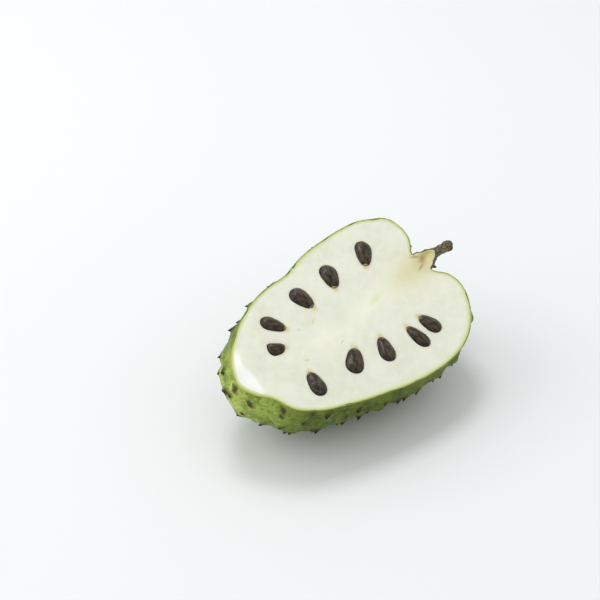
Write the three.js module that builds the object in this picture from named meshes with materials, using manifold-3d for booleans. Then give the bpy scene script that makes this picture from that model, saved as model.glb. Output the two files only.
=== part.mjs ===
// Half of a soursop, cut lengthwise, lying on its skin with the cut face tipped towards the front.
// Millimetres. Row frame: +Z up, +X from the blossom end to the stem, -Y the front, and the origin
// in the middle of the flattened spot that the fruit rests on.
//
// The pieces are built in the fruit's own frame: the cut face lies in z = 0, with the flesh below
// it, x runs along the fruit towards the stem and y across it. One group tips that frame into place.

import * as THREE from 'three';
import { mergeVertices } from 'three/addons/utils/BufferGeometryUtils.js';
import Module from 'manifold-3d';

const wasm = await Module();
wasm.setup();

// ---- driving dimensions ------------------------------------------------------------------------

const FACE_ROLL = 23.2; // degrees that the cut face tips towards the front
const FACE_PITCH = 2.3; // degrees that the stem end rises
const SETTLE = 1.9; // how far its own weight flattens the underside

const CORE = new THREE.Vector2(8, 0); // the middle of the cut face, which the outline is drawn round
const DEPTH = 58; // from the cut face down to the deepest point of the skin
const BELLY = { side: 4, blossom: 13.5, stem: 6 }; // how far under the cut the skin is widest
const TOWARDS = { blossom: 172, stem: 4 }; // directions of the two ends, in degrees
const CAVITY_BRIDGE = 74.5; // radius of the shoulders, carried across the stem cavity
const CAVITY_FADE = 13; // degrees of dip over which the stem cavity fills out
const CAVITY_SPAN = { inner: 8, outer: 26 }; // degrees to each side of the stem

const BEVEL_FROM = -67.3; // x where the knife turned down towards the blossom end
const BEVEL_SKEW = 0.15; // how fast that line leans towards the stem across the fruit
const BEVEL_SLOPE = Math.tan(THREE.MathUtils.degToRad(22));

const RIND = 2.0; // thickness of the skin
const GAP = 0.35; // clearance between touching pieces
const CAVITY_GAP = 1.0; // more of it under the stem cavity, where rind and flesh curve sharply

// The cut outline as [direction in degrees, distance in mm] round CORE, anticlockwise from the stem.
const OUTLINE = [
  [5, 59.5], [12.6, 61.5], [15.7, 66.1], [19, 70.6], [25, 74.8], [32.5, 76.2], [38.5, 72.4],
  [46.8, 67.2], [56, 60.2], [70, 52.7], [86, 48.4], [104, 46], [114, 46.9], [128, 53.6],
  [143, 62.7], [155, 71.5], [164, 78.4], [175, 83], [184, 81], [191, 77.3], [199, 75.3],
  [208, 69.3], [222, 59.2], [240, 52.1], [258, 50.1], [279, 52.6], [297, 58.5], [318, 67],
  [334, 71.5], [345, 72.6], [352.6, 69.2], [357.5, 63],
];

// Seeds: place in the cut face, half length, half width, and the direction of the blunt end. The
// knife shaved one flat along its side, at this share of its half width.
const SEED_HALF_THICKNESS = 3.3;
const SEED_SINK = 0.9; // how far a seed's middle lies under the cut face
const SEEDS = [
  { x: 41.9, y: 28.9, length: 8.9, width: 4.8, points: 233 },
  { x: 13.3, y: 27.8, length: 8.1, width: 5.1, points: 248 },
  { x: -10.8, y: 25.5, length: 7.8, width: 5.0, points: 280 },
  { x: -36.7, y: 21.6, length: 7.4, width: 4.2, points: 306 },
  { x: -44.9, y: 9.9, length: 5.0, width: 5.0, points: 327, shaved: 0.35 },
  { x: -41.9, y: -19.4, length: 7.6, width: 4.4, points: 77 },
  { x: -13.5, y: -20.8, length: 8.2, width: 5.0, points: 44 },
  { x: 6.7, y: -25.3, length: 8.1, width: 4.6, points: 68 },
  { x: 28.8, y: -29.8, length: 8.1, width: 4.2, points: 97 },
  { x: 41.1, y: -27.4, length: 7.2, width: 4.5, points: 109 },
];

// The stem's middle line and radius. The knife took the top off its flared root, at z = 0.
const STEM = [
  { at: [62, 5.2, -1.0], r: 4.2 },
  { at: [65, 5.4, -0.8], r: 6.6 },
  { at: [68.5, 5.8, -0.6], r: 7.2 },
  { at: [73, 6.2, -1.8], r: 5.6 },
  { at: [77.5, 7.1, -3.2], r: 4.6 },
  { at: [81.5, 7.4, -4.2], r: 3.7 },
  { at: [86, 7.6, -4.7], r: 3.1 },
  { at: [90.5, 7.5, -4.8], r: 3.2 },
  { at: [94, 7.2, -4.9], r: 3.7 },
  { at: [96.8, 6.9, -4.9], r: 3.1 },
];

const SPINES = 320; // spines on the whole fruit, of which the cut leaves half
const SPINE_HEIGHT = 2.2; // of the tallest
const SPINE_HEIGHT_RANGE = 0.45; // the share of it that the shortest ones lack
const SPINE_RADIUS = 2.2;
const SPINE_ROOT = 1.1; // how deep a spine's base sits in the rind
const SPINE_SIDES = 5;
const SPINE_LEAN = 1.2; // of its height, towards the blossom end
const SPINE_STRAY = 0.08; // how far spines stray from their spiral, on a sphere of radius one
const SPINE_RIM_MARGIN = 3.2; // spines closer to the cut than this were cut away
const GOLDEN_ANGLE = Math.PI * (3 - Math.sqrt(5));

const TURN_STEPS = 72; // round the fruit
const DIP_STEPS = 11; // from the rim down to the deepest point
const DIP_CROWDING = 1.2; // above one, the steps are closer near the rim

// ---- the fruit's shape -------------------------------------------------------------------------

const radians = THREE.MathUtils.degToRad;

// Distance from CORE to the cut outline, by a smooth closed curve through OUTLINE.
function outlineRadius(degrees) {
  const n = OUTLINE.length;
  const a = THREE.MathUtils.euclideanModulo(degrees - OUTLINE[0][0], 360) + OUTLINE[0][0];
  let i = n - 1;
  while (OUTLINE[i][0] > a) i -= 1;
  const at = (k) => {
    const [angle, radius] = OUTLINE[THREE.MathUtils.euclideanModulo(k, n)];
    return { angle: angle + 360 * Math.floor(k / n), radius };
  };
  const [before, from, to, after] = [at(i - 1), at(i), at(i + 1), at(i + 2)];
  const span = to.angle - from.angle;
  const t = (a - from.angle) / span;
  const slopeFrom = (to.radius - before.radius) / (to.angle - before.angle);
  const slopeTo = (after.radius - from.radius) / (after.angle - from.angle);
  return (2 * t ** 3 - 3 * t ** 2 + 1) * from.radius + (t ** 3 - 2 * t ** 2 + t) * span * slopeFrom
    + (3 * t ** 2 - 2 * t ** 3) * to.radius + (t ** 3 - t ** 2) * span * slopeTo;
}

// One in the middle of the stem cavity, and none away from it.
function cavityShare(degrees, outer = CAVITY_SPAN.outer) {
  const off = Math.abs(THREE.MathUtils.euclideanModulo(degrees - TOWARDS.stem + 180, 360) - 180);
  return 1 - THREE.MathUtils.smoothstep(off, CAVITY_SPAN.inner, outer);
}

// The outline with the stem cavity bridged over, as it is deeper in the fruit.
function bridgedRadius(degrees) {
  const radius = outlineRadius(degrees);
  return radius + cavityShare(degrees) * Math.max(0, CAVITY_BRIDGE - radius);
}

// Distance from CORE to the skin, in a direction given by its turn round the face and its dip under
// it, in degrees. Each upright section is part of an ellipse whose widest level is under the cut.
function skinRadius(turn, dip) {
  const share = (middle) => ((1 + Math.cos(radians(turn - middle))) / 2) ** 6;
  const belly = BELLY.side + (BELLY.blossom - BELLY.side) * share(TOWARDS.blossom)
    + (BELLY.stem - BELLY.side) * share(TOWARDS.stem);
  const half = DEPTH - belly;
  const bridged = bridgedRadius(turn);
  const level = bridged - (bridged - outlineRadius(turn)) * Math.exp(-((dip / CAVITY_FADE) ** 2));
  const widest2 = level ** 2 / (1 - (belly / half) ** 2);
  const [s, c] = [Math.sin(radians(dip)), Math.cos(radians(dip))];
  const a = c * c / widest2 + (s / half) ** 2;
  const b = belly * s / half ** 2;
  return (b + Math.sqrt(b * b - a * ((belly / half) ** 2 - 1))) / a;
}

// A point of the skin, in the fruit's frame.
function skinPoint(turn, dip) {
  const r = skinRadius(turn, dip);
  const flat = r * Math.cos(radians(dip));
  return new THREE.Vector3(
    CORE.x + flat * Math.cos(radians(turn)),
    CORE.y + flat * Math.sin(radians(turn)),
    -r * Math.sin(radians(dip)),
  );
}

// The outward normal of the skin, from small steps along it.
function skinNormal(turn, dip) {
  if (dip > 89) return new THREE.Vector3(0, 0, -1);
  const step = 0.5;
  const aside = skinPoint(turn + step, dip).sub(skinPoint(turn - step, dip));
  const down = skinPoint(turn, dip + step).sub(skinPoint(turn, dip - step));
  return down.cross(aside).normalize();
}

// A point at this depth under the skin.
const fruitPoint = (turn, dip, depth) => (
  skinPoint(turn, dip).addScaledVector(skinNormal(turn, dip), -depth)
);

// How far a point lies past the bevel's edge, towards the blossom end.
const pastBevel = ({ x, y }) => BEVEL_FROM + BEVEL_SKEW * y - x;

// The cut face's level at a point: flat, then sloping down to the blossom end past the bevel.
const cutLevel = (point) => -BEVEL_SLOPE * Math.max(0, pastBevel(point));

// The dip at which the layer at this depth meets the cut face.
function rimDip(turn, depth) {
  let [above, below] = [-15, 60];
  for (let i = 0; i < 40; i += 1) {
    const dip = (above + below) / 2;
    const p = fruitPoint(turn, dip, depth);
    if (p.z > cutLevel(p)) above = dip;
    else below = dip;
  }
  return (above + below) / 2;
}

// ---- the fruit's place on the surface ----------------------------------------------------------

const fruit = new THREE.Group();
fruit.rotation.set(radians(FACE_ROLL), -radians(FACE_PITCH), 0, 'YXZ');
fruit.updateMatrix();
const upInFruit = new THREE.Vector3(0, 0, 1).transformDirection(fruit.matrix.clone().invert());

// The lowest point of the skin goes over the origin, and SETTLE under the surface.
function lowestPoint() {
  let lowest = fruitPoint(0, 90, 0).applyMatrix4(fruit.matrix);
  for (let turn = 180; turn < 360; turn += 1) {
    for (let dip = 40; dip < 90; dip += 1) {
      const p = fruitPoint(turn, dip, 0).applyMatrix4(fruit.matrix);
      if (p.z < lowest.z) lowest = p;
    }
  }
  return lowest;
}
fruit.position.copy(lowestPoint()).negate().add(new THREE.Vector3(0, 0, -SETTLE));
fruit.updateMatrix();

// Lifts a point to at least this height over the surface: the fruit's own weight flattens it there.
function settled(point, height) {
  const z = point.clone().applyMatrix4(fruit.matrix).z;
  return z < height ? point.addScaledVector(upInFruit, height - z) : point;
}

// ---- mesh helpers ------------------------------------------------------------------------------

// Rows of points, each a ring or a single point, joined in turn into one surface.
class Surface {
  constructor() {
    this.points = [];
    this.faces = [];
  }

  row(points) {
    const start = this.points.length;
    this.points.push(...points);
    return points.map((_, i) => start + i);
  }

  join(a, b) {
    const n = Math.max(a.length, b.length);
    for (let i = 0; i < n; i += 1) {
      const [a0, a1] = [a[i % a.length], a[(i + 1) % a.length]];
      const [b0, b1] = [b[i % b.length], b[(i + 1) % b.length]];
      if (a.length > 1) this.faces.push(a0, b0, a1);
      if (b.length > 1) this.faces.push(a1, b0, b1);
    }
  }

  geometry() {
    const g = new THREE.BufferGeometry().setFromPoints(this.points);
    g.setIndex(this.faces);
    return g;
  }
}

// A closed surface through rows of points, from a single point or ring to a single point or ring.
function throughRows(rows, closed = false) {
  const surface = new Surface();
  const indexes = rows.map((row) => surface.row(row));
  indexes.slice(1).forEach((row, i) => surface.join(indexes[i], row));
  if (closed) surface.join(indexes[indexes.length - 1], indexes[0]);
  return surface.geometry();
}

function solid(geometry) {
  const bare = geometry.clone();
  bare.deleteAttribute('normal');
  bare.deleteAttribute('uv');
  const merged = mergeVertices(bare, 1e-4);
  return new wasm.Manifold(new wasm.Mesh({
    numProp: 3,
    vertProperties: new Float32Array(merged.attributes.position.array),
    triVerts: new Uint32Array(merged.index.array),
  }));
}

function geometryOf(manifold) {
  const { vertProperties, triVerts } = manifold.getMesh();
  const g = new THREE.BufferGeometry();
  g.setAttribute('position', new THREE.BufferAttribute(vertProperties, 3));
  g.setIndex(new THREE.BufferAttribute(triVerts, 1));
  g.computeVertexNormals();
  return g;
}

const turns = Array.from({ length: TURN_STEPS }, (_, i) => 360 * i / TURN_STEPS);

// Rings of the layer at this depth, from the cut down to its deepest point. They run along the same
// lines as those of the layer at rimDepth, so that two layers never cross.
function layerRings(depth, rimDepth = depth, cavityGap = 0) {
  const rims = turns.map((turn) => rimDip(turn, rimDepth));
  const rings = Array.from({ length: DIP_STEPS }, (_, j) => turns.map((turn, i) => {
    const dip = rims[i] + (90 - rims[i]) * (j / DIP_STEPS) ** DIP_CROWDING;
    const extra = j > 0 ? cavityGap * cavityShare(turn, 40) : 0;
    return settled(fruitPoint(turn, dip, depth + extra), depth);
  }));
  rings[0].forEach((p) => p.setZ(cutLevel(p)));
  rings.push([settled(fruitPoint(0, 90, depth), depth)]);
  return rings;
}

// ---- spines ------------------------------------------------------------------------------------

// A number from 0 to 1 that looks random, and is always the same for the same k and salt.
function wobble(k, salt) {
  const v = Math.sin(k * 12.9898 + salt * 78.233) * 43758.5453;
  return v - Math.floor(v);
}

// One spine as a pyramid with its base sunk in the rind.
function spine(base, normal, tip) {
  const root = base.clone().addScaledVector(normal, -SPINE_ROOT);
  const frame = new THREE.Quaternion().setFromUnitVectors(new THREE.Vector3(0, 0, 1), normal);
  const ring = Array.from({ length: SPINE_SIDES }, (_, i) => {
    const a = 2 * Math.PI * i / SPINE_SIDES;
    const spoke = new THREE.Vector3(Math.cos(a), Math.sin(a), 0).multiplyScalar(SPINE_RADIUS);
    return spoke.applyQuaternion(frame).add(root);
  });
  return throughRows([[tip], ring, [root]]);
}

// Spines near a golden-angle spiral round the fruit's length, as its carpels grow. Each leans along
// the skin towards the blossom end.
function spines() {
  const found = [];
  for (let k = 0; k < SPINES; k += 1) {
    const stray = (salt) => SPINE_STRAY * (wobble(k, salt) - 0.5);
    const u = THREE.MathUtils.clamp(1 - 2 * (k + 0.5) / SPINES + stray(1), -0.999, 0.999);
    const across = Math.sqrt(1 - u * u);
    const round = k * GOLDEN_ANGLE + stray(2) / across;
    const [y, z] = [0.7 * across * Math.cos(round), 0.7 * across * Math.sin(round)];
    const turn = THREE.MathUtils.radToDeg(Math.atan2(y, u));
    const dip = THREE.MathUtils.radToDeg(Math.atan2(-z, Math.hypot(u, y)));
    if (dip > 0) {
      const base = skinPoint(turn, dip);
      const normal = skinNormal(turn, dip);
      const lean = new THREE.Vector3(-1, 0, 0).addScaledVector(normal, normal.x);
      const height = SPINE_HEIGHT * (1 - SPINE_HEIGHT_RANGE * wobble(k, 3));
      const tip = base.clone().addScaledVector(normal, height)
        .addScaledVector(lean, height * SPINE_LEAN);
      const level = (point) => point.clone().applyMatrix4(fruit.matrix).z;
      const clearOfCut = base.z < cutLevel(base) - SPINE_RIM_MARGIN;
      const clearOfFloor = level(tip) > 0.2 && level(base) > SPINE_RADIUS;
      if (clearOfCut && clearOfFloor) found.push(spine(base, normal, tip));
    }
  }
  return found;
}

// ---- stem and seeds ----------------------------------------------------------------------------

// The stem as rings square to its middle line, swollen by extra all round.
function stemShape(extra) {
  const sides = 12;
  const stations = STEM.map(({ at, r }) => ({ at: new THREE.Vector3(...at), r: r + extra }));
  const curve = new THREE.CatmullRomCurve3(stations.map((s) => s.at));
  const rings = stations.map(({ at, r }, i) => {
    const along = curve.getTangent(i / (stations.length - 1));
    const frame = new THREE.Quaternion().setFromUnitVectors(new THREE.Vector3(1, 0, 0), along);
    return Array.from({ length: sides }, (_, k) => {
      const a = 2 * Math.PI * k / sides;
      return new THREE.Vector3(0, Math.cos(a) * r, Math.sin(a) * r).applyQuaternion(frame).add(at);
    });
  });
  const ends = [stations[0].at.clone(), stations[stations.length - 1].at.clone()];
  ends[0].x -= 1.5 + extra;
  ends[1].x += 0.8 + extra;
  return solid(throughRows([[ends[1]], ...rings.reverse(), [ends[0]]]));
}

// Everything above the cut face near the stem.
function aboveCut() {
  const box = new THREE.BoxGeometry(80, 80, 40);
  box.translate(CORE.x + 75, 0, 20);
  return solid(box);
}

// A flattened oval seed that narrows to a blunt end, swollen by extra all round.
function seedShape({ x, y, length, width, points, shaved = 1 }, extra) {
  const g = new THREE.SphereGeometry(1, 12, 8);
  g.rotateZ(-Math.PI / 2);
  const p = g.attributes.position;
  for (let i = 0; i < p.count; i += 1) {
    const along = p.getX(i);
    const blunt = along > 0 ? Math.sqrt(1 + along ** 2) : 1;
    const girth = (1 - 0.34 * along) * blunt;
    p.setXYZ(
      i,
      along * (length + extra),
      Math.min(p.getY(i) * girth, shaved) * (width + extra),
      p.getZ(i) * girth * 0.9 * (SEED_HALF_THICKNESS + extra),
    );
  }
  g.rotateZ(radians(points));
  g.translate(x, y, -SEED_SINK);
  return solid(g);
}

// ---- the pieces --------------------------------------------------------------------------------

const stemSocket = stemShape(GAP);

function rind() {
  const outside = layerRings(0);
  const inside = layerRings(RIND).reverse();
  const shell = solid(throughRows([...outside, ...inside], true));
  return wasm.Manifold.union([shell, ...spines().map(solid)]).subtract(stemSocket);
}

function flesh() {
  const rings = layerRings(RIND + GAP, RIND, CAVITY_GAP);
  const brow = turns.map((turn, i) => {
    const rim = rings[0][i];
    const [here, there] = [pastBevel(CORE), pastBevel(rim)];
    const share = there > 0 ? here / (here - there) : 0.85;
    const p = new THREE.Vector3(CORE.x, CORE.y, 0).lerp(new THREE.Vector3(rim.x, rim.y, 0), share);
    p.z = 0;
    return p;
  });
  const middle = [new THREE.Vector3(CORE.x, CORE.y, 0)];
  let body = solid(throughRows([middle, brow, ...rings])).subtract(stemSocket);
  SEEDS.forEach((seed) => {
    body = body.subtract(seedShape(seed, GAP));
  });
  return body;
}

const materials = {
  rind: new THREE.MeshStandardMaterial({ color: 0x6f8f34, roughness: 0.55, metalness: 0 }),
  flesh: new THREE.MeshStandardMaterial({ color: 0xeeefe2, roughness: 0.45, metalness: 0 }),
  seed: new THREE.MeshStandardMaterial({ color: 0x2e2620, roughness: 0.3, metalness: 0 }),
  stem: new THREE.MeshStandardMaterial({ color: 0x6d5646, roughness: 0.85, metalness: 0 }),
};

function place(name, manifold, material) {
  const mesh = new THREE.Mesh(geometryOf(manifold), material);
  mesh.name = name;
  fruit.add(mesh);
}

place('rind', rind(), materials.rind);
place('flesh', flesh(), materials.flesh);
place('stem', stemShape(0).subtract(aboveCut()), materials.stem);
SEEDS.forEach((seed, i) => {
  place(`seed_${String(i + 1).padStart(2, '0')}`, seedShape(seed, 0), materials.seed);
});

const soursop = new THREE.Group();
soursop.add(fruit);

export default soursop;
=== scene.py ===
"""Half a soursop, cut lengthwise and lying on its skin, on a pale studio floor.

The CAD model is the frame. Its four kinds of node are replaced by detailed pieces of the same
size in the same place: the rind with its spines, the flesh, the seeds and the stem.

Shapes are worked out in millimetres in the fruit's own frame, as in the CAD model: the cut face
lies in z = 0, x runs towards the stem and y across. fruit_to_row() takes them to the row's metres.
"""

import math

import bpy
import numpy as np
from mathutils import Matrix, Vector


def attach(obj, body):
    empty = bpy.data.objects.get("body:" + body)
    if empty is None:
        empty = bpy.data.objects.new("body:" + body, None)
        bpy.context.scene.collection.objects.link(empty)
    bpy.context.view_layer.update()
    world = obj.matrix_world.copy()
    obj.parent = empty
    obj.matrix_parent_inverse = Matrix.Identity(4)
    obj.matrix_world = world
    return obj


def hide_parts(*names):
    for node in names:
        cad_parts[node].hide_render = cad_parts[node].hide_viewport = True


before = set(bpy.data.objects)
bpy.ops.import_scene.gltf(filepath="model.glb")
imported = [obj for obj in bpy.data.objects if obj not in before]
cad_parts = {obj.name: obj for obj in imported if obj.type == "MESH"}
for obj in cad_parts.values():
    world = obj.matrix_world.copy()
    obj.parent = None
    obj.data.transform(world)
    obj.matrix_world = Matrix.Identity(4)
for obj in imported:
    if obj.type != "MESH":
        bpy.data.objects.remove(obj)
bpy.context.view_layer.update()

MM = 0.001

# ---- the fruit's dimensions, as in the CAD model ------------------------------------------------

FACE_ROLL, FACE_PITCH = 23.2, 2.3  # how the cut face leans to the front, and the stem end rises
SETTLE = 1.9  # how far its own weight flattens the underside
CORE = np.array([8.0, 0.0, 0.0])  # the middle of the cut face, which the outline is drawn round
DEPTH = 58.0  # from the cut face down to the deepest point of the skin
BELLY_SIDE, BELLY_BLOSSOM, BELLY_STEM = 4.0, 13.5, 6.0  # how far under the cut the skin is widest
BLOSSOM_TOWARDS, STEM_TOWARDS = 172.0, 4.0  # directions of the two ends, in degrees
CAVITY_BRIDGE = 74.5  # radius of the shoulders, carried across the stem cavity
CAVITY_FADE = 13.0  # degrees of dip over which the stem cavity fills out
CAVITY_INNER, CAVITY_OUTER = 8.0, 26.0  # degrees to each side of the stem
BEVEL_FROM = -67.3  # x where the knife turned down towards the blossom end
BEVEL_SKEW = 0.15  # how fast that line leans towards the stem across the fruit
BEVEL_SLOPE = math.tan(math.radians(22))
RIND = 2.0  # thickness of the skin
CAVITY_GAP = 1.0  # the skin's extra thickness in the stem cavity, where it curves sharply
CLEARANCE = 0.3  # between the skin and the flesh, and round each seed: a little under the CAD's

# The cut outline as direction in degrees and distance in mm round CORE.
OUTLINE = np.array([
    (5, 59.5), (12.6, 61.5), (15.7, 66.1), (19, 70.6), (25, 74.8), (32.5, 76.2), (38.5, 72.4),
    (46.8, 67.2), (56, 60.2), (70, 52.7), (86, 48.4), (104, 46), (114, 46.9), (128, 53.6),
    (143, 62.7), (155, 71.5), (164, 78.4), (175, 83), (184, 81), (191, 77.3), (199, 75.3),
    (208, 69.3), (222, 59.2), (240, 52.1), (258, 50.1), (279, 52.6), (297, 58.5), (318, 67),
    (334, 71.5), (345, 72.6), (352.6, 69.2), (357.5, 63),
])

SPINES = 320  # on the whole fruit
SPINE_HEIGHT = 2.2  # of the tallest
SPINE_HEIGHT_RANGE = 0.45  # the share of it that the shortest ones lack
SPINE_RADIUS = 2.2
SPINE_LEAN = 1.2  # of its height, towards the blossom end
SPINE_STRAY = 0.08  # how far spines stray from their spiral, on a sphere of radius one
SPINE_RIM_MARGIN = 3.2  # spines closer to the cut than this were cut away
SPIRAL_GIRTH = 0.7  # how slim the body is that the spines' spiral is wound on
GOLDEN_ANGLE = math.pi * (3 - math.sqrt(5))

# The stem's middle line and radius, from its root in the flesh to its broken end.
STEM = np.array([
    (62, 5.2, -1.0, 4.2), (65, 5.4, -0.8, 6.6), (68.5, 5.8, -0.6, 7.2), (73, 6.2, -1.8, 5.6),
    (77.5, 7.1, -3.2, 4.6), (81.5, 7.4, -4.2, 3.7), (86, 7.6, -4.7, 3.1), (90.5, 7.5, -4.8, 3.2),
    (94, 7.2, -4.9, 3.7), (96.8, 6.9, -4.9, 3.1),
])

# Seeds: x, y, half length, half width, direction of the blunt end, and the share of its half width
# at which the knife shaved it flat.
SEED_HALF_THICKNESS, SEED_SINK = 3.3, 0.9
SEEDS = {
    "seed_01": (41.9, 28.9, 8.9, 4.8, 233, 1), "seed_02": (13.3, 27.8, 8.1, 5.1, 248, 1),
    "seed_03": (-10.8, 25.5, 7.8, 5.0, 280, 1), "seed_04": (-36.7, 21.6, 7.4, 4.2, 306, 1),
    "seed_05": (-44.9, 9.9, 5.0, 5.0, 327, 0.35), "seed_06": (-41.9, -19.4, 7.6, 4.4, 77, 1),
    "seed_07": (-13.5, -20.8, 8.2, 5.0, 44, 1), "seed_08": (6.7, -25.3, 8.1, 4.6, 68, 1),
    "seed_09": (28.8, -29.8, 8.1, 4.2, 97, 1), "seed_10": (41.1, -27.4, 7.2, 4.5, 109, 1),
}

# ---- marks that the CAD model leaves out ---------------------------------------------------------

# Brown scars on the skin near the blossom end: middle, half length and half width.
SCARS = (
    ((-77.7, 6.0, -6.0), 5.5, 2.3), ((-76.0, -5.9, -8.8), 4.0, 1.9),
    ((-66.5, -20.7, -3.4), 2.8, 1.8), ((-67.3, -21.6, -7.5), 2.0, 1.7),
    ((-54.8, -32.0, -2.8), 1.8, 1.2),
)
SCARS_LIE = np.array([0.25, -0.65, -0.72])  # the way they all lie, which is down the skin

# Marks in the cut tissue: x, y, half length, half width and direction.
MARKS = {
    "fleck": (
        (-15.8, 11.0, 2.2, 0.5, 30), (-26.0, 11.3, 0.7, 0.5, 0), (-36.2, -5.7, 1.6, 0.5, 160),
        (-8.0, -12.7, 1.4, 0.5, 40), (-11.0, -8.1, 1.8, 0.4, 20),
    ),
    "glow": ((25.5, 2.0, 5.5, 1.7, 12),),
    "pith": ((-1.4, 2.7, 8.0, 5.5, 0),),
    "tan": ((71, 6.5, 9, 8, 10),),
    "fan": ((58, 4.5, 17, 6.5, 6),),
    "blush": ((70.3, 7.2, 3.6, 2.0, 35), (67.5, 10.4, 3.2, 1.0, 150), (65.5, 3.5, 3.0, 0.8, 20)),
    "streak": ((73.5, 4.6, 5.0, 1.1, 32), (70.0, 1.9, 3.5, 0.8, 40)),
    "lobe": ((76.5, 8.4, 4.8, 2.6, 160),),
}

# ---- detail that only shows close up -------------------------------------------------------------

TURN_STEPS = 600  # round the fruit
FACE_RINGS = 110  # from the core out to the rim
SKIN_RINGS = 122  # from the rim down to the deepest point
MOUND_HEIGHT, MOUND_RADIUS = 1.5, 3.6  # the swelling that each spine stands on
VALLEY_DEPTH = 0.5  # the dip between neighbouring mounds
WRINKLE_HEIGHT = 0.16


def smoothstep(x, low, high):
    t = np.clip((x - low) / (high - low), 0, 1)
    return t * t * (3 - 2 * t)


def waves(points, size, seed, stretch=(1, 1, 1), count=28):
    """A smooth random field of about -1 to 1, whose features are about size mm across."""
    rng = np.random.default_rng(seed)
    heading = rng.normal(size=(count, 3))
    heading /= np.linalg.norm(heading, axis=1)[:, None]
    pitch = 2 * math.pi / (size * rng.uniform(1.4, 2.8, count))
    phase = rng.uniform(0, 2 * math.pi, count)
    vectors = heading * pitch[:, None] / np.array(stretch)
    return np.cos(points @ vectors.T + phase).sum(axis=1) / math.sqrt(count)


# ---- the fruit's shape ---------------------------------------------------------------------------


def outline_radius(turn):
    """Distance from CORE to the cut outline, by a smooth closed curve through OUTLINE."""
    angles, radii = OUTLINE.T
    n = len(angles)
    a = (np.asarray(turn, float) - angles[0]) % 360 + angles[0]
    i = np.searchsorted(angles, a, side="right") - 1

    def at(k):
        return angles[k % n] + 360 * (k // n), radii[k % n]

    (a0, r0), (a1, r1), (a2, r2), (a3, r3) = at(i - 1), at(i), at(i + 1), at(i + 2)
    span = a2 - a1
    t = (a - a1) / span
    slope1, slope2 = (r2 - r0) / (a2 - a0), (r3 - r1) / (a3 - a1)
    return ((2 * t**3 - 3 * t**2 + 1) * r1 + (t**3 - 2 * t**2 + t) * span * slope1
            + (3 * t**2 - 2 * t**3) * r2 + (t**3 - t**2) * span * slope2)


def bridged_radius(turn):
    """The outline with the stem cavity bridged over, as it is deeper in the fruit."""
    off = np.abs((turn - STEM_TOWARDS + 180) % 360 - 180)
    share = 1 - smoothstep(off, CAVITY_INNER, CAVITY_OUTER)
    radius = outline_radius(turn)
    return radius + share * np.maximum(0, CAVITY_BRIDGE - radius)


def towards(turn, middle):
    """One in this direction, fading to almost nothing at right angles to it."""
    return ((1 + np.cos(np.radians(turn - middle))) / 2) ** 6


def skin_point(turn, dip):
    """A point of the smooth skin, from its turn round the face and its dip under it, in degrees."""
    turn, dip = np.broadcast_arrays(np.asarray(turn, float), np.asarray(dip, float))
    around, down = np.radians(turn), np.radians(dip)
    belly = (BELLY_SIDE + (BELLY_BLOSSOM - BELLY_SIDE) * towards(turn, BLOSSOM_TOWARDS)
             + (BELLY_STEM - BELLY_SIDE) * towards(turn, STEM_TOWARDS))
    half = DEPTH - belly
    bridged = bridged_radius(turn)
    level = bridged - (bridged - outline_radius(turn)) * np.exp(-((dip / CAVITY_FADE) ** 2))
    widest2 = level**2 / (1 - (belly / half) ** 2)
    s, c = np.sin(down), np.cos(down)
    a, b = c**2 / widest2 + (s / half) ** 2, belly * s / half**2
    r = (b + np.sqrt(b**2 - a * ((belly / half) ** 2 - 1))) / a
    return CORE + np.stack([r * c * np.cos(around), r * c * np.sin(around), -r * s], axis=-1)


def skin_normal(turn, dip, step=0.5):
    """The outward normal of the smooth skin, from small steps along it."""
    aside = skin_point(turn + step, dip) - skin_point(turn - step, dip)
    down = skin_point(turn, dip + step) - skin_point(turn, dip - step)
    normal = np.cross(down, aside)
    length = np.linalg.norm(normal, axis=-1, keepdims=True)
    bottom = np.asarray(dip)[..., None] > 89
    return np.where(bottom, (0, 0, -1), normal / np.maximum(length, 1e-9))


def layer_point(turn, dip, depth):
    return skin_point(turn, dip) - skin_normal(turn, dip) * np.asarray(depth)[..., None]


def inner_depth(turn, share):
    """Depth of the skin's inner side, at a share of the way from the rim to the deepest point.

    It is out of reach of the relief, and of the sharp curve that the stem cavity has near the rim.
    """
    off = np.abs((turn - STEM_TOWARDS + 180) % 360 - 180)
    cavity = 1 - smoothstep(off, CAVITY_INNER, CAVITY_OUTER)
    return RIND + (0.7 + CAVITY_GAP * cavity) * smoothstep(share, 0, 0.08)


def past_bevel(points):
    """How far points lie past the bevel's edge, towards the blossom end."""
    x, y = points[..., 0], points[..., 1]
    waver = 1.8 * np.exp(-(((y - 12) / 5) ** 2))  # the edge strays from its line in one place
    return BEVEL_FROM + BEVEL_SKEW * y - x - waver


def cut_level(points):
    """The cut face's level: flat, then sloping down to the blossom end past the bevel's edge."""
    ease = 1.0  # how far the edge between the two is rounded
    return -BEVEL_SLOPE * ease * np.logaddexp(0, past_bevel(points) / ease)


def rim_dip(turn, depth):
    """The dip at which the layer at this depth meets the cut face."""
    above, below = np.full(len(turn), -15.0), np.full(len(turn), 60.0)
    for _ in range(40):
        dip = (above + below) / 2
        p = layer_point(turn, dip, np.full(len(turn), depth))
        high = p[:, 2] > cut_level(p)
        above, below = np.where(high, dip, above), np.where(high, below, dip)
    return (above + below) / 2


# ---- the fruit's place on the floor --------------------------------------------------------------

PITCH = Matrix.Rotation(math.radians(-FACE_PITCH), 3, "Y")
ROLL = Matrix.Rotation(math.radians(FACE_ROLL), 3, "X")
LEAN = np.array(PITCH @ ROLL)


def face_place():
    """The fruit frame's origin, when the lowest skin is over the row's, and SETTLE under the floor."""
    turns, dips = np.meshgrid(np.arange(180, 360, 1.0), np.arange(40, 90, 1.0))
    under = skin_point(turns.ravel(), dips.ravel()) @ LEAN.T
    return -under[np.argmin(under[:, 2])] - np.array([0, 0, SETTLE])


FACE_AT = face_place()


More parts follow.
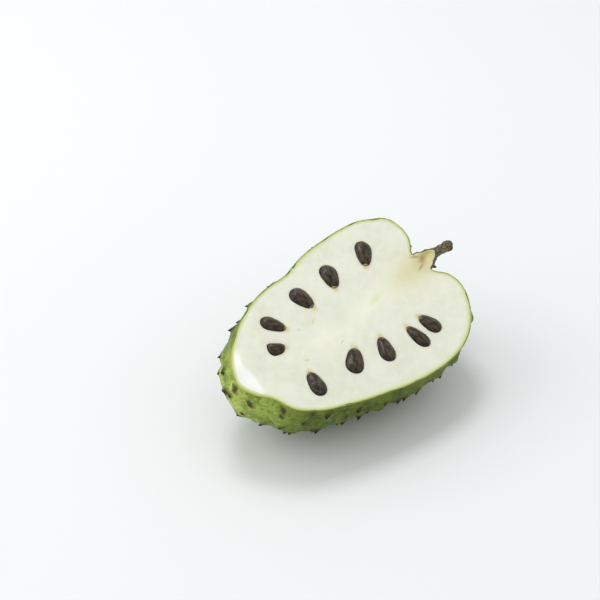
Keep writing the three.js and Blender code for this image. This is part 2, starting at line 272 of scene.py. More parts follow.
def fruit_to_row(points):
    """From mm in the fruit's frame to metres in the row's."""
    return (points @ LEAN.T + FACE_AT) * MM


def row_to_fruit(points):
    return (points / MM - FACE_AT) @ LEAN


def row_height(points):
    return points @ LEAN[2] + FACE_AT[2]


def settled(points, height):
    """Lifts points to at least this height over the floor, where the fruit's weight flattens it."""
    short = np.maximum(0, height - row_height(points))
    return points + short[..., None] * LEAN[2]


# ---- mesh helpers --------------------------------------------------------------------------------


class Build:
    """Collects rows of vertices, with named values for each, and makes one mesh object of them."""

    def __init__(self):
        self.points, self.faces, self.values, self.count = [], [], {}, 0

    def row(self, points, **values):
        points = np.atleast_2d(points)
        start = self.count
        self.count += len(points)
        self.points.append(points)
        for name, value in values.items():
            self.values.setdefault(name, {})[start] = np.broadcast_to(value, len(points))
        return np.arange(start, self.count)

    def join(self, a, b):
        """Faces between two rings, or a ring and a point, that face out when b is further down."""
        n = max(len(a), len(b))
        for i in range(n):
            j = (i + 1) % n
            if len(a) == 1:
                self.faces.append((a[0], b[i], b[j]))
            elif len(b) == 1:
                self.faces.append((a[i], b[0], a[j]))
            else:
                self.faces.append((a[i], b[i], b[j], a[j]))

    def through(self, rows):
        for a, b in zip(rows, rows[1:]):
            self.join(a, b)

    def value(self, name):
        whole = np.zeros(self.count)
        for start, part in self.values[name].items():
            whole[start:start + len(part)] = part
        return whole

    def mesh(self, name):
        mesh = bpy.data.meshes.new(name)
        points = fruit_to_row(np.concatenate(self.points))
        mesh.from_pydata(points.tolist(), [], [tuple(map(int, f)) for f in self.faces])
        for key in self.values:
            give(mesh, key, self.value(key))
        return mesh


def give(mesh, name, values):
    """Stores one number for each vertex, for the material to read."""
    layer = mesh.attributes.get(name) or mesh.attributes.new(name, "FLOAT", "POINT")
    layer.data.foreach_set("value", np.ascontiguousarray(values, dtype=np.float32))


def piece(name, mesh, material, nodes, crease=45):
    """Makes the object that stands for these CAD nodes."""
    mesh.validate()
    mesh.shade_smooth()
    mesh.set_sharp_from_angle(angle=math.radians(crease))
    mesh.materials.append(material)
    made = bpy.data.objects.new(name, mesh)
    bpy.context.collection.objects.link(made)
    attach(made, "root")
    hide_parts(*nodes)
    return made


# ---- the rind ------------------------------------------------------------------------------------


def wobble(k, salt):
    """A number from 0 to 1 that looks random, and is always the same for the same k and salt."""
    return np.sin(k * 12.9898 + salt * 78.233) * 43758.5453 % 1


def spine_places():
    """Base point, outward normal and tip of each spine, as in the CAD model."""
    k = np.arange(SPINES)
    u = np.clip(1 - 2 * (k + 0.5) / SPINES + SPINE_STRAY * (wobble(k, 1) - 0.5), -0.999, 0.999)
    across = np.sqrt(1 - u**2)
    round_it = k * GOLDEN_ANGLE + SPINE_STRAY * (wobble(k, 2) - 0.5) / across
    y, z = SPIRAL_GIRTH * across * np.cos(round_it), SPIRAL_GIRTH * across * np.sin(round_it)
    turn, dip = np.degrees(np.arctan2(y, u)), np.degrees(np.arctan2(-z, np.hypot(u, y)))
    base, normal = skin_point(turn, dip), skin_normal(turn, dip)
    height = SPINE_HEIGHT * (1 - SPINE_HEIGHT_RANGE * wobble(k, 3))
    lean = np.array([-1.0, 0, 0]) + normal * normal[:, :1]
    tip = base + (normal + lean * SPINE_LEAN) * height[:, None]
    clear_of_cut = base[:, 2] < cut_level(base) - SPINE_RIM_MARGIN
    clear_of_floor = (row_height(tip) > 0.2) & (row_height(base) > SPINE_RADIUS)
    stays = (dip > 0) & clear_of_cut & clear_of_floor
    return base[stays], normal[stays], tip[stays]


def nearest_two(points, places):
    """Distance from each point to the nearest place and to the next."""
    near, after = np.empty(len(points)), np.empty(len(points))
    for start in range(0, len(points), 4000):
        part = points[start:start + 4000]
        d = np.partition(np.linalg.norm(part[:, None] - places[None], axis=2), 1, axis=1)
        near[start:start + 4000], after[start:start + 4000] = d[:, 0], d[:, 1]
    return near, after


def skin_relief(points, near, after):
    """How far the real skin stands off the smooth one, in mm."""
    mound = MOUND_HEIGHT * (np.exp(-((near / MOUND_RADIUS) ** 2)) - 0.25)
    valley = -VALLEY_DEPTH * np.exp(-(((after - near) / 2) ** 2)) * smoothstep(near, 2, 5)
    broad = 0.45 * waves(points, 10, 3) + 0.3 * waves(points, 4.2, 4) - 0.2
    wrinkle = WRINKLE_HEIGHT * (1 - 1.6 * np.abs(waves(points, 2.4, 5, stretch=(3.5, 1, 1))))
    grain = 0.04 * waves(points, 1.3, 8)
    return mound + valley + broad + wrinkle + grain


def scar_share(points):
    """One in the middle of each scar, and none away from it."""
    share = np.zeros(len(points))
    for middle, length, width in SCARS:
        off = points - np.array(middle)
        along = off @ SCARS_LIE
        across = np.linalg.norm(off - along[:, None] * SCARS_LIE, axis=1)
        share = np.maximum(share, np.exp(-((along / length) ** 2) - (across / width) ** 2))
    return share


def make_rind(material):
    build = Build()
    far = 9.0  # stands for a distance out of reach of every spine
    turns = np.arange(TURN_STEPS) * 360 / TURN_STEPS
    bases, normals, tips = spine_places()

    # The cut edge of the skin, from its inner side to its outer one.
    rows = []
    for depth in (RIND, 1.4, 0.8, 0.35):
        p = layer_point(turns, rim_dip(turns, depth), np.full(TURN_STEPS, depth))
        p[:, 2] = cut_level(p) + 0.02 * waves(p, 2.5, 11) - 0.02
        rows.append(build.row(p, depth=depth, near=far, spine=0))

    # The outside. Its relief is softer at the rim, and gone where the fruit rests.
    rims = rim_dip(turns, 0.0)
    for j in range(SKIN_RINGS):
        share = (j / SKIN_RINGS) ** 1.1
        dips = rims + (90 - rims) * share
        p = skin_point(turns, dips)
        n = skin_normal(turns, dips)
        near, after = nearest_two(p, bases)
        relief = skin_relief(p, near, after)
        relief = relief * (0.7 + 0.3 * smoothstep(j, 0, 8)) - 0.3 * smoothstep(j, 8, 0)
        relief *= smoothstep(row_height(p), 0.5, 5)
        p = settled(p + n * relief[:, None], 0.0)
        if j == 0:
            p[:, 2] = cut_level(p)
        rows.append(build.row(p, depth=0, near=near, spine=0))
    bottom = settled(skin_point(0.0, 90.0)[None], 0.0)
    rows.append(build.row(bottom, depth=0, near=far, spine=0))
    build.through(rows)

    # The inside, which lies against the flesh.
    inner = [rows[0]]
    rims = rim_dip(turns, RIND)
    for share in np.linspace(0, 1, 14)[1:-1] ** 1.6:
        dips = rims + (90 - rims) * share
        p = settled(layer_point(turns, dips, inner_depth(turns, share)), RIND)
        inner.append(build.row(p, depth=RIND, near=far, spine=0))
    deepest = settled(np.array([[*CORE[:2], RIND - DEPTH]]), RIND)
    inner.append(build.row(deepest, depth=RIND, near=far, spine=0))
    build.through(inner[::-1])

    for k, (base, normal, tip) in enumerate(zip(bases, normals, tips)):
        add_spine(build, base, normal, tip, SPINE_RADIUS * (0.8 + 0.25 * wobble(k, 4)))
    mesh = build.mesh("rind_skin")
    points = np.concatenate(build.points)
    give(mesh, "toward_stem", points[:, 0])
    give(mesh, "scar", scar_share(points))
    return piece("rind_skin", mesh, material, ["rind"])


# A spine's profile: share of the way to its tip, and share of its radius.
SPINE_PROFILE = (
    (0.97, 0.0), (0.93, 0.14), (0.82, 0.27), (0.62, 0.42), (0.4, 0.6), (0.18, 0.86), (-0.05, 1.1),
)


def add_spine(build, base, normal, tip, radius):
    """A fleshy spine that hooks over towards its tip, rooted in its mound."""
    aside = np.cross(normal, (0.3, 0.2, 1.0))
    aside /= np.linalg.norm(aside)
    other = np.cross(normal, aside)
    rise = normal * ((tip - base) @ normal)
    lean = tip - base - rise
    sides = 10
    a = np.arange(sides) * 2 * math.pi / sides
    spokes = np.cos(a)[:, None] * aside + np.sin(a)[:, None] * other
    rows = []
    for t, share in SPINE_PROFILE:
        middle = base + rise * t + lean * max(t, 0) ** 1.6
        ring = middle + spokes * (share * radius) if share else middle[None]
        rows.append(build.row(ring, depth=0, near=0, spine=max(t, 0)))
    rows.append(build.row((base - normal * 0.9)[None], depth=0, near=0, spine=0))
    build.through(rows)


# ---- the seeds -----------------------------------------------------------------------------------


def seed_frame(name):
    """A seed's middle, its axes (along, across and up) and its half sizes."""
    x, y, length, width, direction, shaved = SEEDS[name]
    a = math.radians(direction)
    along = (math.cos(a), math.sin(a), 0)
    across = (-math.sin(a), math.cos(a), 0)
    return {
        "middle": np.array([x, y, -SEED_SINK]), "axes": np.array([along, across, (0, 0, 1)]),
        "half": np.array([length, width, SEED_HALF_THICKNESS]), "shaved": shaved,
    }


def seed_rings(seed, extra, sides, rings, dimple=0.0):
    """Rings from a seed's blunt end, which may have a dimple, to its round one, swollen by extra."""
    half = seed["half"] + extra
    a = np.arange(sides) * 2 * math.pi / sides
    made = []
    for j in range(rings + 1):
        s = math.cos(math.pi * j / rings)
        blunt = math.sqrt(1 + s**2) if s > 0 else 1
        girth = math.sin(math.pi * j / rings) * (1 - 0.34 * s) * blunt
        across = np.cos(a) * girth
        if seed["shaved"] < 1:
            across = np.minimum(across, seed["shaved"])
        reach = np.full(sides, s - dimple * smoothstep(s, 0.9, 1))
        local = np.stack([reach, across, np.sin(a) * girth * 0.9], axis=1)
        local = local[:1] if j in (0, rings) else local
        made.append((s, seed["middle"] + (local * half) @ seed["axes"]))
    return made


def make_seed(node, seed, material, number):
    build = Build()
    rows = []
    for s, p in seed_rings(seed, 0.0, 56, 48, dimple=0.16):
        if len(p) > 1:
            out = p - seed["middle"]
            out /= np.linalg.norm(out, axis=1)[:, None]
            local = (p - seed["middle"]) @ seed["axes"].T
            # Painted highlight: the top of each seed, in streaks along its ridges, is marked to be
            # painted lighter, for the soft glints of the lamps on it.
            crown = smoothstep(local[:, 2] / seed["half"][2], 0.25, 0.85)
            ridges = waves(local + number * 50, 1.0, 21, stretch=(2.6, 1, 1))
            ripple = 0.1 * ridges + 0.16 * waves(local + number * 50, 4, 22)
            p = p + out * (ripple - 0.16)[:, None] * math.sqrt(max(0, 1 - s * s))
            rows.append(build.row(p, along=s, worn=crown * smoothstep(ridges, -0.8, 1)))
        else:
            rows.append(build.row(p, along=s, worn=0))
    build.through(rows)
    mesh = build.mesh(node + "_coat")
    return piece(node + "_coat", mesh, material, [node])


# ---- the flesh -----------------------------------------------------------------------------------


def face_fields(points):
    """Values over the cut face, for the flesh's and the stem's materials."""
    x, y = points[:, 0], points[:, 1]
    turn = np.degrees(np.arctan2(y - CORE[1], x - CORE[0]))
    edge = outline_radius(turn) - np.hypot(x - CORE[0], y - CORE[1])
    # The core is a band that widens towards the stem, and bends a little with it.
    middle = 5.0 * smoothstep(x, 0, 60)
    spread = 5.5 + 7.5 * smoothstep(x, 10, 62)
    core = np.exp(-(((y - middle) / spread) ** 2)) * smoothstep(x, -48, -12)
    fields = {"edge": edge, "core": core, "toward_stem": x}
    return fields | {name: mark_share(name, points) for name in MARKS}


def face_relief(points):
    """The cut face's small unevenness, in mm: soft waves, and a shallow furrow along the core."""
    core = face_fields(points)["core"]
    return 0.14 * waves(points, 12, 32) + 0.035 * waves(points, 2.6, 33) - 0.2 * core


def make_flesh(material, seeds):
    build = Build()
    turns = np.arange(TURN_STEPS) * 360 / TURN_STEPS
    at_skin = RIND - 0.05  # laps over the skin's cut edge, so that no gap shows
    rims = rim_dip(turns, at_skin)
    rim = layer_point(turns, rims, np.full(TURN_STEPS, at_skin))
    rows = [build.row(CORE[None])]
    for j in range(1, FACE_RINGS + 1):
        p = CORE + (rim - CORE) * (j / FACE_RINGS)
        fade = smoothstep(j, FACE_RINGS, FACE_RINGS - 5) * smoothstep(j, 0, 4)
        p[:, 2] = cut_level(p) + face_relief(p) * fade
        rows.append(build.row(p))
    for share in np.linspace(0, 1, 16)[1:-1] ** 1.6:
        dips = rims + (90 - rims) * share
        p = layer_point(turns, dips, inner_depth(turns, share) + CLEARANCE)
        rows.append(build.row(settled(p, RIND + CLEARANCE)))
    deepest = np.array([[*CORE[:2], RIND + CLEARANCE - DEPTH]])
    rows.append(build.row(settled(deepest, RIND + CLEARANCE)))
    build.through(rows)
    flesh = bpy.data.objects.new("flesh_pulp", build.mesh("flesh_pulp"))
    bpy.context.collection.objects.link(flesh)

    # A pocket round each seed.
    pockets = Build()
    for seed in seeds:
        pockets.through([pockets.row(p) for _, p in seed_rings(seed, CLEARANCE, 48, 30)])
    cutter = bpy.data.objects.new("pockets", pockets.mesh("pockets"))
    bpy.context.collection.objects.link(cutter)
    cut = flesh.modifiers.new("pockets", "BOOLEAN")
    cut.operation, cut.solver, cut.object = "DIFFERENCE", "EXACT", cutter
    bpy.context.view_layer.update()
    evaluated = flesh.evaluated_get(bpy.context.evaluated_depsgraph_get())
    mesh = bpy.data.meshes.new_from_object(evaluated)
    bpy.data.objects.remove(cutter)
    bpy.data.objects.remove(flesh)
    mesh.name = "flesh_pulp"

    points = np.empty(len(mesh.vertices) * 3)
    mesh.vertices.foreach_get("co", points)
    points = row_to_fruit(points.reshape(-1, 3))
    for name, values in face_fields(points).items():
        give(mesh, name, values)
    give(mesh, "seed_near", seed_distance(points, seeds))
    give(mesh, "seed_end", seed_end_share(points, seeds))
    give(mesh, "bevel", smoothstep(past_bevel(points), -0.8, 1.4))
    return piece("flesh_pulp", mesh, material, ["flesh"])


def mark_share(name, points):
    """One in the middle of these marks, and none away from them."""
    x, y, length, width, direction = np.array(MARKS[name]).T
    a = np.radians(direction)
    dx, dy = points[:, :1] - x, points[:, 1:2] - y
    along, across = dx * np.cos(a) + dy * np.sin(a), dy * np.cos(a) - dx * np.sin(a)
    return np.exp(-((along / length) ** 2) - (across / width) ** 2).max(axis=1)


def seed_distance(points, seeds):
    """Rough distance in mm from each point to the nearest seed's outline on the face."""
    nearest = np.full(len(points), 50.0)
    for seed in seeds:
        along, across = ((points - seed["middle"]) @ seed["axes"].T / seed["half"])[:, :2].T
        rough = np.maximum(np.hypot(along, across), np.where(across > seed["shaved"], 1.15, 0))
        nearest = np.minimum(nearest, (rough - 1) * seed["half"][:2].mean())
    return nearest


def seed_end_share(points, seeds):
    """One just past each seed's blunt end, where its stalk was, and none away from it."""
    share = np.zeros(len(points))
    for seed in seeds:
        end = seed["middle"] + seed["axes"][0] * (seed["half"][0] + 0.5)
        off = np.linalg.norm((points - end)[:, :2], axis=1)
        share = np.maximum(share, np.exp(-((off / 1.7) ** 2)))
    return share


# ---- the stem ------------------------------------------------------------------------------------


def add_scale(build):
    """The dry scale that is left in the corner between the neck and the shoulder."""
    middle, along = np.array([73.3, -0.2, -1.0]), np.array([0.55, -0.83, 0.0])
    across, half = np.array([0.83, 0.55, 0.0]), np.array([1.9, 1.1, 0.8])
    a = np.arange(20) * 2 * math.pi / 20
    rows = []
    for s in np.cos(np.linspace(0, math.pi, 12)):
        girth = math.sqrt(max(0.0, 1 - s * s)) * (1 - 0.45 * s)
        local = np.stack([np.full(20, s), girth * np.cos(a), girth * np.sin(a)], axis=1) * half
        p = middle + local @ np.array([along, across, (0, 0, 1)])
        p = p + 0.15 * waves(p, 1.0, 51)[:, None] * (p - middle)
        rows.append(build.row(p if girth else p[:1], cut=0))
    build.through(rows)


def make_stem(material):
    build = Build()
    sides, steps = 72, 150
    t = np.linspace(0, len(STEM) - 1, steps)
    i = np.clip(t.astype(int), 0, len(STEM) - 2)
    before, after = STEM[np.maximum(i - 1, 0)], STEM[np.minimum(i + 2, len(STEM) - 1)]
    u = (t - i)[:, None]
    line = 0.5 * (2 * STEM[i] + (STEM[i + 1] - before) * u
                  + (2 * before - 5 * STEM[i] + 4 * STEM[i + 1] - after) * u**2
                  + (3 * STEM[i] - before - 3 * STEM[i + 1] + after) * u**3)
    middles, radii = line[:, :3], line[:, 3]
    along = np.gradient(middles, axis=0)
    along /= np.linalg.norm(along, axis=1)[:, None]
    a = np.arange(sides) * 2 * math.pi / sides
    rows = []
    for middle, radius, heading in zip(middles[::-1], radii[::-1], along[::-1]):
        aside = np.cross((0, 0, 1), heading)
        aside /= np.linalg.norm(aside)
        up = np.cross(heading, aside)
        out = np.cos(a)[:, None] * aside + np.sin(a)[:, None] * up
        p = middle + out * radius
        knotty = 0.3 + 0.25 * smoothstep(middle[0], 86, 92)
        bark = knotty * (waves(p, 2.6, 41, stretch=(1.4, 1, 1)) - 0.2) + 0.12 * waves(p, 0.9, 42)
        p = p + out * (bark * smoothstep(middle[0], 64, 72))[:, None]
        edge = face_fields(p)["edge"]
        # The cut's own edge stays dark, as the skin of the neck.
        half_cut = math.sqrt(max(0.0, radius**2 - min(0.0, middle[2]) ** 2))
        from_side = half_cut - np.abs(np.cos(a)) * radius
        cut = np.where(p[:, 2] > 0.04, smoothstep(from_side, 0.6, 1.3), 0)
        cut = np.maximum(cut, smoothstep(edge, 0.2, 1.0))
        p[:, 2] = np.minimum(p[:, 2], 0.04 - 0.8 * smoothstep(edge, 2.4, 5))
        rows.append(build.row(p, cut=cut))
    tip = build.row((middles[-1] + along[-1] * 0.3)[None], cut=0)
    root = build.row((middles[0] - along[0])[None], cut=1)
    build.through([tip, *rows, root])
    add_scale(build)
    mesh = build.mesh("stem_wood")
    points = np.concatenate(build.points)
    for name, values in face_fields(points).items():
        give(mesh, name, values)
    return piece("stem_wood", mesh, material, ["stem"], crease=60)


# ---- materials -----------------------------------------------------------------------------------


class Shader:
    """A material's node tree, with short calls for the nodes used here."""

    def __init__(self, name):
        self.material = bpy.data.materials.new(name)
        self.material.use_nodes = True
        self.tree = self.material.node_tree
        self.bsdf = self.tree.nodes["Principled BSDF"]
        self.place = None

    def set(self, **inputs):
        for name, value in inputs.items():
            socket = self.bsdf.inputs[name.replace("_", " ")]
            if isinstance(value, bpy.types.NodeSocket):
                self.tree.links.new(value, socket)
            else:
                socket.default_value = value
        return self

    def node(self, kind, **inputs):
        made = self.tree.nodes.new(kind)
        for name, value in inputs.items():
            key = name.replace("_", " ")
            if isinstance(value, bpy.types.NodeSocket):
                self.tree.links.new(value, made.inputs[key])
            else:
                made.inputs[key].default_value = value
        return made

    def attribute(self, name):
        made = self.tree.nodes.new("ShaderNodeAttribute")
        made.attribute_name = name
        return made.outputs["Fac"]

    def coordinates(self, scale=(1, 1, 1)):
        """Object coordinates, which are the row's, in millimetres."""
        if self.place is None:
            self.place = self.tree.nodes.new("ShaderNodeTexCoord").outputs["Object"]
        made = self.node("ShaderNodeMapping", Vector=self.place)
        made.inputs["Scale"].default_value = [s / MM for s in scale]
        return made.outputs["Vector"]

    def noise(self, size, detail=3.0, roughness=0.55, stretch=(1, 1, 1)):
        """Noise from 0 to 1, with features about size mm across."""
        made = self.node("ShaderNodeTexNoise", Vector=self.coordinates([1 / s for s in stretch]),
                         Scale=1 / size, Detail=detail, Roughness=roughness)
        return made.outputs["Fac"]

    def uneven(self, value, noise, reach):
        """value moved up and down by the noise, by half its reach at most."""
        return self.math("ADD", value, self.math("MULTIPLY", self.math("SUBTRACT", noise, 0.5), reach))

    def math(self, operation, a, b=0.0, clamp=False):
        made = self.tree.nodes.new("ShaderNodeMath")
        made.operation, made.use_clamp = operation, clamp
        for socket, value in zip(made.inputs, (a, b)):
            if isinstance(value, bpy.types.NodeSocket):
                self.tree.links.new(value, socket)
            else:
                socket.default_value = value
        return made.outputs[0]

    def between(self, value, low, high, to_low=0.0, to_high=1.0):
        """value from low..high smoothly mapped to to_low..to_high."""
        made = self.node("ShaderNodeMapRange", Value=value, From_Min=low, From_Max=high,
                         To_Min=to_low, To_Max=to_high)
        made.interpolation_type = "SMOOTHSTEP"
        return made.outputs[0]

    def mix(self, share, a, b):
        made = self.tree.nodes.new("ShaderNodeMix")
        made.data_type = "RGBA"
        for key, value in ((0, share), (6, a), (7, b)):
            if isinstance(value, bpy.types.NodeSocket):
                self.tree.links.new(value, made.inputs[key])
            else:
                made.inputs[key].default_value = value
        return made.outputs[2]

    def bump(self, height, distance_mm, strength):
        made = self.node("ShaderNodeBump", Height=height, Distance=distance_mm * MM, Strength=strength)
        return made.outputs["Normal"]


def colour(red, green, blue):
    """A colour given as it looks on screen, from 0 to 255, as linear light."""
    def linear(v):
        v /= 255
        return v / 12.92 if v <= 0.04045 else ((v + 0.055) / 1.055) ** 2.4
    return (linear(red), linear(green), linear(blue), 1.0)


def rind_material():
    s = Shader("soursop_skin")
    near, depth, spine = s.attribute("near"), s.attribute("depth"), s.attribute("spine")
    blotch = s.noise(7, detail=4)
    # Painted light and shade: the skin is painted lighter and yellower towards the blossom end, where
    # the light from the left falls, and darker towards the stem, where it lies in shade.
    painted_lit_end = s.between(s.uneven(s.attribute("toward_stem"), blotch, 30), -54, -77)
    mottle = s.noise(1.8, detail=5, roughness=0.7)
    streak = s.noise(1.5, detail=3, stretch=(5, 1, 1))
    dark = s.mix(painted_lit_end, colour(64, 82, 20), colour(118, 140, 48))
    light = s.mix(painted_lit_end, colour(98, 116, 36), colour(176, 194, 92))
    pale = s.mix(painted_lit_end, colour(134, 150, 62), colour(192, 206, 108))
    green = s.mix(s.between(blotch, 0.36, 0.6), dark, light)
    green = s.mix(s.between(mottle, 0.5, 0.7, 0, 0.7), green, pale)
    green = s.mix(s.between(streak, 0.48, 0.32, 0, 0.55), green, colour(62, 82, 28))
    ring = s.uneven(near, mottle, 4.0)
    green = s.mix(s.between(ring, 3.4, 1.2, 0, 0.8), green, colour(66, 72, 30))
    scar = s.uneven(s.attribute("scar"), mottle, 1.3)
    green = s.mix(s.between(scar, 0.15, 0.8, 0, 0.95), green, colour(66, 52, 30))
    scurf = s.between(s.noise(0.8, detail=2), 0.66, 0.74)
    green = s.mix(s.math("MULTIPLY", scurf, 0.55), green, colour(118, 108, 66))
    thorn = s.mix(s.between(spine, 0.12, 0.6), colour(74, 68, 32), colour(40, 33, 18))
    thorn = s.mix(s.between(mottle, 0.5, 0.7, 0, 0.5), thorn, colour(92, 84, 48))
    skin = s.mix(s.between(spine, 0.03, 0.2), green, thorn)
    band = s.mix(s.between(depth, 0.4, 1.9), colour(160, 170, 78), colour(220, 227, 166))
    edge = s.mix(s.between(depth, 0.05, 0.45), skin, band)
    gloss = s.math("ADD", s.between(mottle, 0.3, 0.7, 0.34, 0.5), s.math("MULTIPLY", spine, 0.12))
    pores = s.noise(0.7, detail=4)
    height = s.math("ADD", s.math("MULTIPLY", pores, 0.6), s.math("MULTIPLY", streak, 0.4))
    s.set(Base_Color=edge, Roughness=gloss, Specular_IOR_Level=0.2, Normal=s.bump(height, 0.5, 0.85),
          Subsurface_Weight=0.06, Subsurface_Radius=(0.5, 1.0, 0.2), Subsurface_Scale=1.0 * MM)
    return s.material


def cut_tissue(s):
    """The colour of the cut flesh, which turns tan and yellow-green where the stem grows into it."""
    cloud, soft = s.noise(16, detail=2), s.noise(5, detail=3)
    strand = s.noise(1.1, detail=3, stretch=(9, 1, 1))
    patchy = s.math("ADD", 0.55, s.math("MULTIPLY", soft, 0.9))
    white = s.mix(s.between(cloud, 0.35, 0.65), colour(230, 232, 213), colour(236, 238, 220))
    white = s.mix(s.between(soft, 0.42, 0.66, 0, 0.5), white, colour(240, 242, 226))
    near_stem = s.between(s.attribute("toward_stem"), 25, 58)
    cream = s.mix(near_stem, colour(247, 248, 230), colour(234, 231, 200))
    cream = s.mix(s.between(strand, 0.42, 0.62, 0, 0.4), cream, colour(240, 240, 212))
    tissue = s.mix(s.math("MULTIPLY", s.attribute("core"), 0.85), white, cream)
    for mark, strength, tint in (
        ("pith", 0.4, colour(222, 225, 205)),
        ("glow", 0.7, colour(224, 235, 172)),
        ("fleck", 0.75, colour(196, 210, 128)),
        ("fan", 0.55, colour(216, 213, 156)),
        ("tan", 0.8, colour(210, 196, 136)),
        ("lobe", 0.95, colour(176, 176, 92)),
        ("blush", 0.85, colour(160, 130, 80)),
        ("streak", 0.85, colour(226, 216, 158)),
    ):
        share = s.math("MULTIPLY", s.attribute(mark), patchy)
        share = s.math("MULTIPLY", share, strength, clamp=True)
        tissue = s.mix(share, tissue, tint)
    return tissue


def flesh_material():
    s = Shader("soursop_flesh")
    soft, fine = s.noise(5, detail=3), s.noise(0.9, detail=4)
    bevel = s.attribute("bevel")
    by_seed = s.between(s.attribute("seed_near"), 1.1, 0.1, 0, 0.45)
    stalk = s.math("MULTIPLY", s.attribute("seed_end"), s.between(fine, 0.3, 0.6, 0.5, 1))
    white = s.mix(by_seed, cut_tissue(s), colour(206, 192, 152))
    white = s.mix(stalk, white, colour(214, 196, 138))
    # Painted light: the bevel facet is painted whiter than the rest of the cut face, for the brighter
    # light it catches as it faces the left.
    white = s.mix(bevel, white, colour(251, 252, 247))
    # A greenish margin inside the skin, which the bevel and the tan neck lack.
    lacking = s.math("MAXIMUM", s.math("MULTIPLY", bevel, 0.75), s.attribute("tan"))
    margin = s.between(s.uneven(s.attribute("edge"), soft, 1.5), 4.4, 1.8, 0, 0.85)
    margin = s.math("MULTIPLY", margin, s.math("SUBTRACT", 1.0, lacking))
    white = s.mix(margin, white, colour(226, 233, 178))
    height = s.math("ADD", s.math("MULTIPLY", soft, 0.7), s.math("MULTIPLY", fine, 0.3))
    s.set(Base_Color=white, Roughness=s.between(fine, 0.3, 0.7, 0.34, 0.46),
          Normal=s.bump(height, 0.3, 0.35), Subsurface_Weight=0.3,
          Subsurface_Radius=(1.0, 0.95, 0.7), Subsurface_Scale=2.0 * MM)
    return s.material


def seed_material():
    s = Shader("soursop_seed")
    fine = s.noise(0.5, detail=5, roughness=0.7)
    patch = s.noise(2.0, detail=3)
    brown = s.mix(s.between(patch, 0.35, 0.65), colour(16, 9, 3), colour(46, 31, 15))
    # Painted highlight: lighter brown on the seeds' tops and ridges, standing in for soft glints.
    worn = s.math("MULTIPLY", s.attribute("worn"), s.between(fine, 0.35, 0.6, 0.3, 0.8))
    brown = s.mix(worn, brown, colour(94, 80, 56))
    tip = s.between(s.uneven(s.attribute("along"), patch, 0.16), 0.84, 0.92)
    brown = s.mix(tip, brown, colour(214, 196, 142))
    s.set(Base_Color=brown, Roughness=s.between(fine, 0.35, 0.65, 0.2, 0.42),
          Normal=s.bump(fine, 0.2, 0.9), Specular_IOR_Level=0.25,
          Coat_Weight=0.25, Coat_Roughness=0.12)
    return s.material


def stem_material():
    s = Shader("soursop_stem")
    cut = s.between(s.attribute("cut"), 0.3, 0.7)
    grain = s.noise(0.8, detail=5, stretch=(2.5, 1, 1))
    patch = s.noise(2.6, detail=3)
    bark = s.mix(s.between(grain, 0.36, 0.64), colour(60, 52, 32), colour(142, 132, 106))
    bark = s.mix(s.between(patch, 0.46, 0.62, 0, 0.65), bark, colour(78, 66, 34))
    bark = s.mix(s.between(s.attribute("toward_stem"), 90, 95, 0, 0.5), bark, colour(66, 52, 28))
    bark = s.mix(s.between(s.attribute("toward_stem"), 82, 78, 0, 0.75), bark, colour(70, 74, 36))
    s.set(Base_Color=s.mix(cut, bark, cut_tissue(s)), Roughness=s.between(cut, 0, 1, 0.75, 0.42),
          Normal=s.bump(grain, 0.4, s.between(cut, 0, 1, 0.8, 0.15)))
    return s.material


# ---- the studio ----------------------------------------------------------------------------------

VIEW_AZIMUTH, VIEW_ELEVATION, VIEW_DISTANCE = -44.6, 36.0, 781.7  # degrees, degrees and mm
AIM_ASIDE, AIM_UP = -25.7, 12.3  # how far the view's middle lies from the cut face's, in mm
FLOOR_REACH = 4.0  # metres from the middle to each edge
FLOOR_LEVEL = -0.0001  # just under the fruit, in metres


def view_axes():
    a, e = math.radians(VIEW_AZIMUTH), math.radians(VIEW_ELEVATION)
    back = Vector((math.sin(a) * math.cos(e), -math.cos(a) * math.cos(e), math.sin(e)))
    right = Vector((math.cos(a), math.sin(a), 0))
    return right, back.cross(right), back


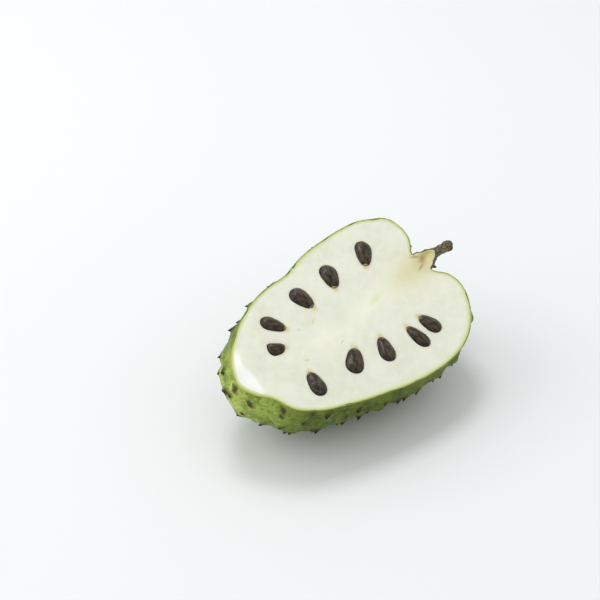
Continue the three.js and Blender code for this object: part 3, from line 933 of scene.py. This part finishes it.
def make_camera():
    right, up, back = view_axes()
    face = Vector(FACE_AT)
    lens = bpy.data.cameras.new("camera")
    lens.lens, lens.sensor_width = 85, 36
    camera = bpy.data.objects.new("camera", lens)
    camera.location = (face + right * AIM_ASIDE + up * AIM_UP + back * VIEW_DISTANCE) * MM
    camera.rotation_euler = Matrix((right, up, back)).transposed().to_euler()
    bpy.context.collection.objects.link(camera)
    bpy.context.scene.camera = camera


def softbox(name, direction, distance, size, watts):
    """A square soft light that faces the fruit from this direction, in metres and watts."""
    data = bpy.data.lights.new(name, "AREA")
    data.shape, data.size, data.energy = "SQUARE", size, watts
    lamp = bpy.data.objects.new(name, data)
    direction = Vector(direction).normalized()
    lamp.location = direction * distance
    lamp.rotation_euler = direction.to_track_quat("Z", "Y").to_euler()
    bpy.context.collection.objects.link(lamp)


def make_studio():
    right = view_axes()[0]
    softbox("left", -right + Vector((0, 0, 0.5)), 2.2, 2.1, 17.4)
    softbox("top", (0.1, 0.34, 0.92), 1.6, 0.55, 6)

    world = bpy.data.worlds.new("studio")
    world.use_nodes = True
    background = world.node_tree.nodes["Background"]
    background.inputs["Color"].default_value = (0.99, 1.0, 1.0, 1)
    background.inputs["Strength"].default_value = 0.735
    bpy.context.scene.world = world

    mesh = bpy.data.meshes.new("floor")
    corners = [(x * FLOOR_REACH, y * FLOOR_REACH, 0) for x, y in ((-1, -1), (1, -1), (1, 1), (-1, 1))]
    mesh.from_pydata(corners, [], [(0, 1, 2, 3)])
    s = Shader("studio_floor")
    s.set(Base_Color=(0.865, 0.885, 0.89, 1), Roughness=0.7)
    mesh.materials.append(s.material)
    floor = bpy.data.objects.new("floor", mesh)
    floor.location.z = FLOOR_LEVEL
    bpy.context.collection.objects.link(floor)
    bpy.context.scene.view_settings.view_transform = "Standard"


# ---- the whole -----------------------------------------------------------------------------------

make_camera()
make_studio()

seeds = {name: seed_frame(name) for name in SEEDS}
make_rind(rind_material())
make_flesh(flesh_material(), list(seeds.values()))
seed_coat = seed_material()
for number, (node, seed) in enumerate(seeds.items()):
    make_seed(node, seed, seed_coat, number)
make_stem(stem_material())
